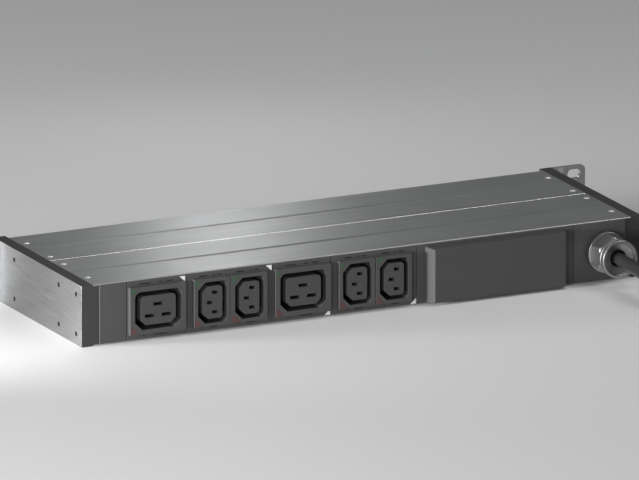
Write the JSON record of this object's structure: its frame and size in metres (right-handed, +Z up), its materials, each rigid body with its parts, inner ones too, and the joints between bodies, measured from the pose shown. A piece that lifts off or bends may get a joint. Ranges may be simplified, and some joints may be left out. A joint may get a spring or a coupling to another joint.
{
  "type": "rack power strip",
  "caption": "One-unit-high rack power strip: aluminium housing with end ears, a row of appliance outlets with status lenses, a raised cover and a gland with its supply cable and plug.",
  "frame": {"origin": "middle of the underside, where it rests; X is centred between the end faces and Y is half-way between the rear and front edges of the extrusions", "axes": "+X along the strip, to the right as its outlets are faced; +Y from the outlets to the rack ears; +Z up"},
  "size_m": [0.5733, 0.3236, 0.0436],
  "materials": {
    "profile_skin": "satin extrusion, fine grain along its length",
    "bracket_metal": "satin, bead-blasted end faces",
    "screw_steel": "dark zinc",
    "plate_grey": "fine-texture dark grey coating",
    "cover_grey": "fine-texture dark grey",
    "marker_white": "printed white",
    "lens_green": "clear tinted",
    "lens_red": "clear tinted",
    "outlet_plastic": "moulded dark grey, satin",
    "core_plastic": "moulded black, satin",
    "contact_brass": "bright",
    "copper_bar": "tinned copper, dull",
    "insulator_white": "plain",
    "insulator_grey": "plain",
    "core_insulation": "brown, plain",
    "grommet_rubber": "plain",
    "board_green": "solder mask",
    "plated_steel": "zinc plated",
    "relay_black": "plain",
    "sensor_core": "plain",
    "potting_black": "potted",
    "front_grey": "fine-texture dark grey coating",
    "display_glass": "clear, hard",
    "display_panel": "dark screen",
    "key_plastic": "light grey",
    "socket_shield": "tinned sheet",
    "nickel": "nickel plated, satin",
    "seal_rubber": "plain",
    "cable_sheath": "smooth black",
    "tie_fabric": "woven hook and loop",
    "plug_rubber": "moulded black",
    "pin_nickel": "nickel plated"
  },
  "bodies": {
    "housing": {"bank_markers": "marker_white", "blank_plate": "plate_grey", "board_standoffs": "plated_steel", "bus_bar_holders": "insulator_white", "c13_contacts": "contact_brass", "c13_cores": "core_plastic", "c13_plate_1": "plate_grey", "c13_plate_2": "plate_grey", "c13_shroud_1": "outlet_plastic", "c13_shroud_2": "outlet_plastic", "c13_shroud_3": "outlet_plastic", "c13_shroud_4": "outlet_plastic", "c19_contacts": "contact_brass", "c19_cores": "core_plastic", "c19_plate_1": "plate_grey", "c19_plate_2": "plate_grey", "c19_shroud_1": "outlet_plastic", "c19_shroud_2": "outlet_plastic", "cable_cores": "core_insulation", "connection_cover": "cover_grey", "control_board": "board_green", "cord_coil": "cable_sheath", "cord_tie": "tie_fabric", "cover_plate": "plate_grey", "current_sensors": "sensor_core", "display_module": "display_panel", "display_window": "display_glass", "earth_bus_bar": "copper_bar", "earth_stud": "plated_steel", "front_panel": "front_grey", "front_profile": "profile_skin", "gland_body": "nickel", "gland_locknut": "nickel", "gland_plate": "plate_grey", "gland_seal": "seal_rubber", "gland_washer": "seal_rubber", "green_light_pipes": "lens_green", "housing_screws": "screw_steel", "internal_wires": "core_insulation", "key_switches": "relay_black", "left_bracket": "bracket_metal", "line_bus_bar": "copper_bar", "network_socket": "socket_shield", "neutral_bus_bar": "copper_bar", "plug_body": "plug_rubber", "plug_pins": "pin_nickel", "power_board": "board_green", "power_supply": "potting_black", "rear_profile": "profile_skin", "red_light_pipes": "lens_red", "relays": "relay_black", "right_bracket": "bracket_metal", "supply_cord": "cable_sheath", "terminal_block": "insulator_grey", "wire_grommets": "grommet_rubber"},
    "key_up": {"key_up": "key_plastic"},
    "key_down": {"key_down": "key_plastic"},
    "key_enter": {"key_enter": "key_plastic"},
    "gland_nut": {"gland_nut": "nickel"}
  },
  "joints": [
    {"name": "key_up_press", "type": "slide", "parent": "housing", "child": "key_up", "axis": [0, -1, 0], "range_m": [0, 0.001], "stiffness_N_per_m": 1500},
    {"name": "key_down_press", "type": "slide", "parent": "housing", "child": "key_down", "axis": [0, -1, 0], "range_m": [0, 0.001], "stiffness_N_per_m": 1500},
    {"name": "key_enter_press", "type": "slide", "parent": "housing", "child": "key_enter", "axis": [0, -1, 0], "range_m": [0, 0.001], "stiffness_N_per_m": 1500},
    {"name": "gland_nut_turn", "type": "hinge", "parent": "housing", "child": "gland_nut", "pos_m": [0.1857, -0.085, 0.0218], "axis": [0, -1, 0], "range_deg": [0, 360]}
  ]
}
